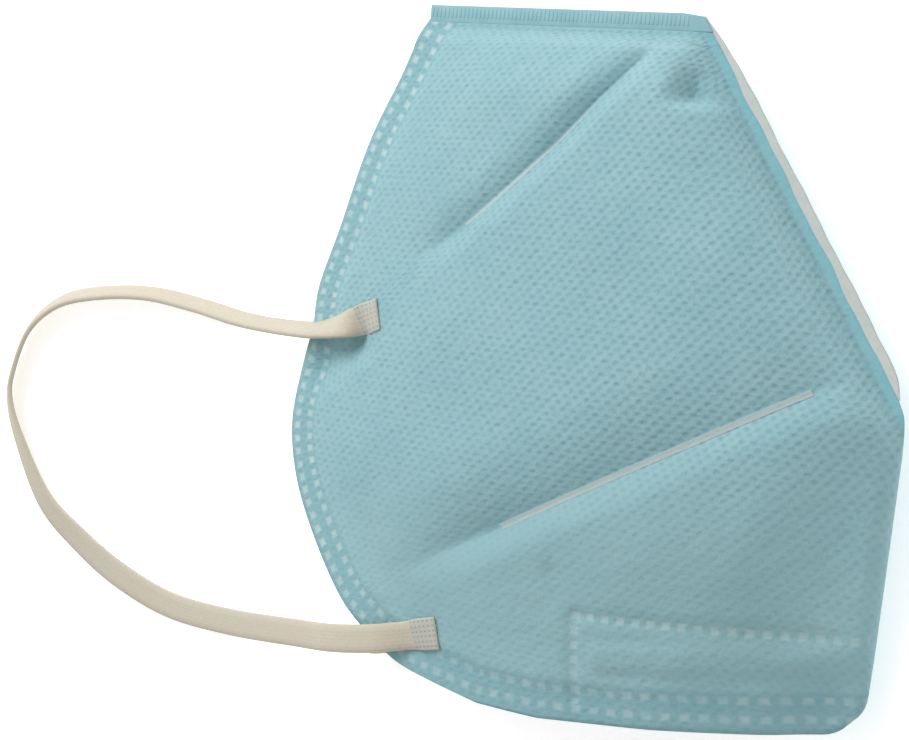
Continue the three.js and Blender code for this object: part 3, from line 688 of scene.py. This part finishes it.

# Over the nose, away from its edges, the cloth is painted darker: painted shade where the surface there
# faces down, away from the light.
nose_shade = [add_node(tree, "MapRange", {"Value": web_y, "From Min": -12.0, "From Max": -34.0})]
for off_edge, near, well_in in ((off_fold, 2.0, 16.0), (off_rim, 4.5, 12.0)):
    nose_shade.append(add_node(tree, "MapRange", {"Value": off_edge, "From Min": near, "From Max": well_in}))
nose_shade = combined(tree, "MULTIPLY", nose_shade)

# The pits are uneven, shallower where the cloth is drawn over the nose, and pressed out by the welds.
broken = add_node(tree, "TexNoise", {"Vector": web, "Scale": 0.75, "Detail": 2.0, "Roughness": 0.6})
uneven = add_node(tree, "MapRange", {"Value": broken, "From Min": 0.3, "From Max": 0.7,
                                     "To Min": 0.5, "To Max": 1.35})
drawn = add_node(tree, "MapRange", {"Value": web_y, "From Min": -34.0, "From Max": -16.0, "To Min": 0.55})
welds = combined(tree, "MAXIMUM", [seam_band, chin_band, marks, darts])
clear = add_node(tree, "Math", {0: welds, 1: -0.85, 2: 1.0}, operation="MULTIPLY_ADD")
pits = combined(tree, "MULTIPLY", [pits, uneven, drawn, clear])

colour = add_node(tree, "Mix", {0: clouds, 6: "#78abb4", 7: "#a0c1c4"}, output=2, data_type="RGBA")
colour = layered(tree, colour, [
    # Over the nose, the second of these lays painted shade.
    (blotches, 0.25, "#8db0b4"), (nose_shade, 0.6, "#7b9fa3"), (pits, 0.85, "#709faa"),
    (fibres, 0.3, "#a9c9cc"), (rim_band, 0.2, "#74a1a9"), (between, 0.3, "#6a9ba5"),
    (seam_band, 0.6, "#71b0bf"), (chin_band, 0.8, "#88b4bc"),
    # The valleys' band lays painted shade beside the seam and chin welds.
    (combined(tree, "MAXIMUM", valley_shades), 0.35, "#5f939e"), (marks, 0.65, "#b7cccc"),
    (lower_dart, 0.9, "#a9b6b5"), (upper_dart, 0.85, "#b4c6c8"),
])
relief = heights(tree, [(pits, -0.13), (fibres, 0.08), (blotches, 0.3), (marks, -0.15), (darts, 0.12)])
finish_material(tree, shader, colour, 0.85, relief)
shader.inputs["Sheen Weight"].default_value = 0.1

outer_cloth = cloth_layer("outer_cloth", 0.0, 0.6, spunbond)
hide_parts("outer_shell")
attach(outer_cloth, "root")

# ---- Chin weld --------------------------------------------------------------------------------------
# All layers of both panels, fused in a narrow band along the chin by a ribbed welding horn, so that
# they are thin, stiff and evenly ridged.

# slant is how far the outer edge stops short of the inner one at the front.
CHIN_BAND = {"width": 2.3, "overlap": 0.6, "thickness": 0.8, "start": 1.5, "bevel": 0.12, "slant": 1.6}
RIB = {"pitch": 0.78, "width": 0.4, "thickness": 0.92, "start": 2.0, "stop": 3.0, "in": 0.25, "out": 0.4,
       "bevel": 0.06}
# Cuts that round its front corner: a point back from the end and out from the chin line, and the
# direction across the cut.
CORNER_CUTS = [((-4.5, 2.22), (0.12, 1)), ((-1.15, 1.75), (1, 1.1))]


def mottled_material(name, noise, colours, roughness, strength):
    """A plain cloth or film, with one fine mottle in its colour and its surface."""
    material, tree, shader = new_material(name)
    position = add_node(tree, "TexCoord", output="Object")
    mottle = add_node(tree, "TexNoise", {"Vector": position, **noise})
    colour = add_node(tree, "Mix", {0: mottle, 6: colours[0], 7: colours[1]}, output=2, data_type="RGBA")
    finish_material(tree, shader, colour, roughness, mottle, strength, 0.0001)
    return material


# Melted into one hard film by the horn: smoother and a little glossier than the loose web.
fused_cloth = mottled_material(
    "fused spunbond polypropylene", {"Scale": 400.0, "Detail": 3.0}, ("#7babb4", "#95bdc4"), 0.65, 0.5
)


def add_block(low, high, bevel):
    """A block between two corners, in mm, with bevelled edges; the new object is left active."""
    bpy.ops.object.select_all(action="DESELECT")
    bpy.ops.mesh.primitive_cube_add(size=0.001, location=[(a + b) / 2000 for a, b in zip(low, high)],
                                    scale=[b - a for a, b in zip(low, high)])
    bpy.ops.object.transform_apply(location=True, rotation=True, scale=True)
    block = bpy.context.object
    modifier = block.modifiers.new("bevel", "BEVEL")
    modifier.width = bevel * 0.001
    modifier.segments = 2
    bpy.ops.object.modifier_apply(modifier="bevel")
    return block


def joined_along(name, blocks, start, run, material, smooth_angle):
    """Joins blocks that were made along X into one piece, and lays it from a start along a run."""
    bpy.ops.object.select_all(action="DESELECT")
    for block in blocks:
        block.select_set(True)
    piece = blocks[0]
    bpy.context.view_layer.objects.active = piece
    bpy.ops.object.join()
    piece.name = name
    piece.rotation_mode = "QUATERNION"
    piece.rotation_quaternion = run.to_track_quat("X", "Z")
    piece.location = start * 0.001
    bpy.ops.object.transform_apply(location=True, rotation=True, scale=True)
    piece.data.materials.clear()
    piece.data.materials.append(material)
    bpy.ops.object.shade_smooth_by_angle(angle=math.radians(smooth_angle))
    return piece


chin_run = Vector(CHIN_FRONT) - Vector(CHIN_RIM)
band_length = chin_run.length
thin, width = CHIN_BAND["thickness"] / 2, CHIN_BAND["width"]
band_block = add_block((CHIN_BAND["start"], -CHIN_BAND["overlap"], -thin), (band_length, width, thin),
                       CHIN_BAND["bevel"])
for vertex in band_block.data.vertices:
    if vertex.co.x > (band_length - 1) * 0.001:
        vertex.co.x -= CHIN_BAND["slant"] * vertex.co.y / width
for (back, out), (across_x, across_y) in CORNER_CUTS:
    bpy.ops.object.mode_set(mode="EDIT")
    bpy.ops.mesh.select_all(action="SELECT")
    bpy.ops.mesh.bisect(plane_co=((band_length + back) * 0.001, out * 0.001, 0),
                        plane_no=(across_x, across_y, 0), use_fill=True, clear_outer=True)
    bpy.ops.object.mode_set(mode="OBJECT")
half_rib, rib_thin = RIB["width"] / 2, RIB["thickness"] / 2
rib = add_block((RIB["start"] - half_rib, RIB["in"], -rib_thin),
                (RIB["start"] + half_rib, width - RIB["out"], rib_thin), RIB["bevel"])
repeat = rib.modifiers.new("ribs", "ARRAY")
repeat.use_relative_offset = False
repeat.use_constant_offset = True
repeat.constant_offset_displace = (RIB["pitch"] * 0.001, 0, 0)
repeat.count = int((band_length - RIB["start"] - RIB["stop"]) / RIB["pitch"])
bpy.ops.object.modifier_apply(modifier="ribs")
chin_weld = joined_along("chin_weld", [band_block, rib], Vector(CHIN_RIM), chin_run, fused_cloth, 50)
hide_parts("outer_shell")
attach(chin_weld, "root")

# ---- Inner lining -----------------------------------------------------------------------------------
# White melt-blown filter and inner spunbond, one layer to the eye. It lines both panels, and its cut
# edge shows outside the outer cloth along the seam.

# Fine blown fibres under a thin web: white, matt and slightly fuzzy, with no lattice that shows.
white_cloth = mottled_material(
    "white melt-blown and spunbond polypropylene", {"Scale": 1600.0, "Detail": 4.0, "Roughness": 0.7},
    ("#d3dad8", "#e9edeb"), 0.9, 0.6
)

lining = cloth_layer("filter_lining", 0.65, 2.0, white_cloth)
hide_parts("inner_lining")
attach(lining, "root")

# ---- Cut edge of the seam ---------------------------------------------------------------------------
# The inner layers are cut a little outside the seam's weld, so that they show as a narrow white edge
# of stacked cloth that thins out at both ends.

# start is where it begins, from the chin's corner, root how far it reaches in, tapers the run in which it
# widens from each end, and growth its share of width at the two ends.
CUT_EDGE = {"start": -2.3, "length": 69.2, "root": 0.8, "thickness": 0.16, "tapers": (13.0, 6.0),
            "growth": (0.87, 1.22)}
CUT_LAYERS = [(-0.2, 1.1), (0.0, 1.4), (0.2, 1.3)]  # height off the seam's middle and width of each, mm
# Waves of a layer's edge, in its width and in its height: share or mm, radians for each mm, and phase.
EDGE_WAVES = [(0.05, 0.37, 1), (0.03, 1.1, 2)]
CURL = (0.04, 0.5)

# Raw cut edges of the inner layers, greyer than the loose white cloth: partly painted shade on the narrow
# stacked edge, and partly the blue cloth showing through its thin layers.
shaded_cut_cloth = mottled_material(
    "cut edge of polypropylene, with painted shade", {"Scale": 700.0, "Detail": 3.0, "Roughness": 0.6},
    ("#b3bdb9", "#cecdc8"), 0.85, 0.6
)

seam_run = Vector(FRONT_POINT) - Vector(CHIN_FRONT)
layers = []
for lift, width in CUT_LAYERS:
    bpy.ops.object.select_all(action="DESELECT")
    bpy.ops.mesh.primitive_grid_add(x_subdivisions=110, y_subdivisions=2, size=1)
    layer = bpy.context.object
    for vertex in layer.data.vertices:
        share = vertex.co.x + 0.5
        along = share * CUT_EDGE["length"]
        ends = zip((along, CUT_EDGE["length"] - along), CUT_EDGE["tapers"])
        taper = math.prod(float(ease_out(off_end / run)) for off_end, run in ends)
        wave = 1 + sum(size * math.sin(along * turns + phase * width) for size, turns, phase in EDGE_WAVES)
        # The grid's three lines of points are the root, the seam's edge and the cut edge.
        reach = -CUT_EDGE["root"] if vertex.co.y < -0.1 else 0
        height = CURL[0] * math.sin(along * CURL[1] + width)
        if vertex.co.y > 0.1:
            reach = width * taper * wave * mix(*CUT_EDGE["growth"], share)
            height += lift
        vertex.co = Vector((along, reach, height)) * 0.001
    thickness = layer.modifiers.new("thickness", "SOLIDIFY")
    thickness.thickness = CUT_EDGE["thickness"] * 0.001
    thickness.offset = 0
    bpy.ops.object.modifier_apply(modifier="thickness")
    layers.append(layer)
cut_start = Vector(CHIN_FRONT) + seam_run.normalized() * CUT_EDGE["start"]
cut_edge = joined_along("seam_cut_edge", layers, cut_start, seam_run, shaded_cut_cloth, 40)
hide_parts("inner_lining")
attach(cut_edge, "root")

# ---- Nose wire --------------------------------------------------------------------------------------
# A flat strip of soft aluminium in the pocket along the nose, bent by hand to the face. It is the CAD
# model's own part.

# Rolled and annealed: dull silver, with faint lines along the strip from the rolls.
wire_metal, tree, shader = new_material("annealed rolled aluminium")
position = add_node(tree, "TexCoord", output="Object")
stretched = add_node(tree, "Mapping", {"Vector": position, "Scale": (60.0, 3000.0, 3000.0)})
rolling = add_node(tree, "TexNoise", {"Vector": stretched, "Scale": 1.0, "Detail": 2.0})
colour = add_node(tree, "Mix", {0: rolling, 6: "#b4b7ba", 7: "#cdd0d2"}, output=2, data_type="RGBA")
tree.links.new(colour, shader.inputs["Base Color"])
shader.inputs["Metallic"].default_value = 1.0
shader.inputs["Roughness"].default_value = 0.45
nose_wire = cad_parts["nose_wire"]
nose_wire.data.materials.clear()
nose_wire.data.materials.append(wire_metal)

# ---- Ear loops --------------------------------------------------------------------------------------
# Flat knitted elastic, cream, 5 mm wide. Each end is welded on the cloth with a grid of pin dots.

COURSE_PITCH, WALE_PITCH = 0.8, 0.62  # of the knit, along and across the strap, mm
PIN_PITCH = 0.85  # of the pins in its welded ends

# Polyester over fine rubber threads: cream, matt and softly ribbed along its length. Its welded ends
# are pressed thin and pricked with rows of pins.
elastic, tree, shader = new_material("flat knitted elastic")
thread = add_node(tree, "Attribute", output="Vector", attribute_name="knit")
along_strap, across_strap, off_end = add_node(tree, "SeparateXYZ", {0: thread}).node.outputs
wales = ripple(tree, across_strap, WALE_PITCH)
stitches = combined(tree, "MULTIPLY", [ripple(tree, along_strap, COURSE_PITCH), wales])
fuzz = add_node(tree, "TexNoise", {"Vector": thread, "Scale": 1.4, "Detail": 3.0, "Roughness": 0.7})
welded = add_node(tree, "MapRange", {"Value": off_end, "From Min": 5.4, "From Max": 4.6})
pricked = [welded]
for place in (off_end, across_strap):
    row = ripple(tree, place, PIN_PITCH)
    pricked.append(add_node(tree, "MapRange", {"Value": row, "From Min": 0.3, "From Max": -0.9}))
pricked = combined(tree, "MULTIPLY", pricked)
colour = add_node(tree, "Mix", {0: fuzz, 6: "#b8b09f", 7: "#cec6b5"}, output=2, data_type="RGBA")
colour = layered(tree, colour, [(welded, 0.65, "#b2b6b0"), (pricked, 0.5, "#93918a")])
relief = heights(tree, [(wales, 0.005), (stitches, 0.008), (fuzz, 0.05), (pricked, -0.06)])
finish_material(tree, shader, colour, 0.85, relief)

# footing is how far each way the strap feels for the cloth's slope, and gap its clearance over the cloth.
STRAP = {"width": 4.7, "thickness": 0.9, "weld": 5.0, "weld_width": 5.4, "weld_thickness": 0.4,
         "footing": 2.3, "gap": 0.05}
# x, y, z and lean, the turn of the flat side about its run in degrees; mm. Without a z, the strap lies
# flat on the near panel.
NEAR_ROUTE = [
    (-33.0, 6.6, None, 0), (-35.2, 6.0, None, 0), (-37.6, 5.5, None, 0), (-40.6, 4.9, 16.7, 26),
    (-44.5, 4.4, 15.6, 48), (-49, 4.2, 14.2, 60), (-58.8, 5, 10.2, 66), (-68.6, 6.4, 6.8, 68),
    (-79.5, 8.9, 3.9, 68), (-91.5, 11.3, 2.8, 66), (-103.2, 11.6, 2.7, 62),
    (-112.8, 10.1, 2.6, 58), (-120.1, 5.3, 2.5, 54), (-124.3, -2.7, 2.4, 50),
    (-125.2, -8.4, 2.3, 46), (-123, -16, 2, 38), (-117.4, -27.3, 1.4, 22), (-109.4, -34.7, 0.9, 8),
    (-100.1, -40.9, 0.7, 0), (-88.2, -45.8, 1.2, 0), (-72.3, -47.8, 4.6, 0), (-52.1, -48, 12.6, 0),
    (-43.5, -47.7, 17.8, 0), (-37.2, -47.3, 20.7, 0), (-31, -46.8, 21.9, 0), (-25.4, -46.1, None, 0),
    (-22.3, -45.7, None, 0), (-19.2, -45.3, None, 0),
]
FAR_ROUTE = [
    (-34, 6.4, 0.7, 0), (-43, 6.4, 0.7, 0), (-50.6, 4.9, 0.9, 0), (-54.0, 4.2, 3.2, 0), (-50.6, 4.0, 5.5, 0),
    (-42, 4.4, 5.1, 0), (-28, 5.6, 4.6, 0), (-12, 8.4, 3.4, 0), (4, 8.6, 3.3, 0), (17, 3.2, 3.3, 0),
    (24, -7.5, 3.4, 0), (23, -20.5, 3.3, 0), (15, -31, 3.3, 0), (2, -38, 3.3, 0), (-12, -43, 4.4, 0),
    (-24, -46.2, 5.1, 0), (-38.5, -48.9, 5.5, 0), (-43.6, -49.5, 3.1, 0), (-38.5, -48.9, 0.9, 0),
    (-29, -47.2, 0.7, 0), (-20.5, -45.8, 0.7, 0),
]


def laid_on_cloth(x, y):
    """Height of the near panel under a point."""
    from_rim = rim_coordinates(np.array([[x, y]]))[1]
    return float(edge_height(x, y) + near_height(x, y, LAYER_EDGE, from_rim)[0])


def smooth_route(route, per_span):
    """Points and leans on a Catmull-Rom curve through a route."""
    points = []
    for i, (x, y, z, lean) in enumerate(route):
        if z is None:
            heading = math.copysign(1, route[min(i + 1, len(route) - 1)][0] - route[max(i - 1, 0)][0])
            footing = STRAP["footing"]
            under, above, below = (laid_on_cloth(x, y + step) for step in (0, footing, -footing))
            z = max(under, (above + below) / 2) + STRAP["weld_thickness"] / 2 + STRAP["gap"]
            lean = heading * math.degrees(math.atan2(above - below, 2 * footing))
        points.append((x, y, z, lean))
    points = np.array(points)
    padded = np.vstack([2 * points[0] - points[1], points, 2 * points[-1] - points[-2]])
    found = []
    for i in range(len(points) - 1):
        for t in np.arange(per_span) / per_span:
            found.append(on_curve(*padded[i : i + 4], t))
    return np.array(found + [points[-1]])


def strap(name, route):
    """A flat strap swept along its route, with its place along and across stored for the knit."""
    line = smooth_route(route, 8)
    run_length = np.concatenate([[0], np.cumsum(np.linalg.norm(np.diff(line[:, :3], axis=0), axis=1))])
    section = [(1, -0.5), (1, 0.5), (0.92, 1), (0.45, 1.06), (0, 1.06), (-0.45, 1.06), (-0.92, 1),
               (-1, 0.5), (-1, -0.5), (-0.92, -1), (-0.45, -1.06), (0, -1.06), (0.45, -1.06), (0.92, -1)]
    vertices, knit, side = [], [], None
    for i in range(len(line)):
        run = Vector(line[min(i + 1, len(line) - 1), :3] - line[max(i - 1, 0), :3]).normalized()
        level = Vector((-run.y, run.x, 0)).normalized()
        if side and level.dot(side) < 0:
            level.negate()
        side = level
        turn = math.radians(line[i, 3])
        wide = level * math.cos(turn) + run.cross(level) * math.sin(turn)
        flat = run.cross(wide)
        middle = Vector(line[i, :3])
        off_end = min(run_length[i], run_length[-1] - run_length[i])
        loose = float(smooth((off_end - 0.6 * STRAP["weld"]) / (0.8 * STRAP["weld"])))
        half = mix(STRAP["weld_width"], STRAP["width"], loose) / 2
        thin = mix(STRAP["weld_thickness"], STRAP["thickness"], loose) / 2
        vertices += [(middle + wide * (a * half) + flat * (b * thin)) * 0.001 for a, b in section]
        knit += [(run_length[i], a * half, off_end) for a, b in section]
    count = len(section)
    faces = []
    for i in range(len(line) - 1):
        for k in range(count):
            after = (k + 1) % count
            faces.append((i * count + k, i * count + after, (i + 1) * count + after, (i + 1) * count + k))
    faces.append(tuple(range(count - 1, -1, -1)))
    faces.append(tuple(range(len(vertices) - count, len(vertices))))
    piece = new_piece(name, vertices, faces, elastic)
    attribute = piece.data.attributes.new("knit", "FLOAT_VECTOR", "POINT")
    attribute.data.foreach_set("vector", np.array(knit, np.float32).ravel())
    return piece, line[:, :3] * 0.001


for name, node, route, length in (
    ("near_ear_loop", "ear_loop_near", NEAR_ROUTE, 0.2376),
    ("far_ear_loop", "ear_loop_far", FAR_ROUTE, 0.2224),
):
    loop, line = strap(name, route)
    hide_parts(node)
    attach(loop, "root")
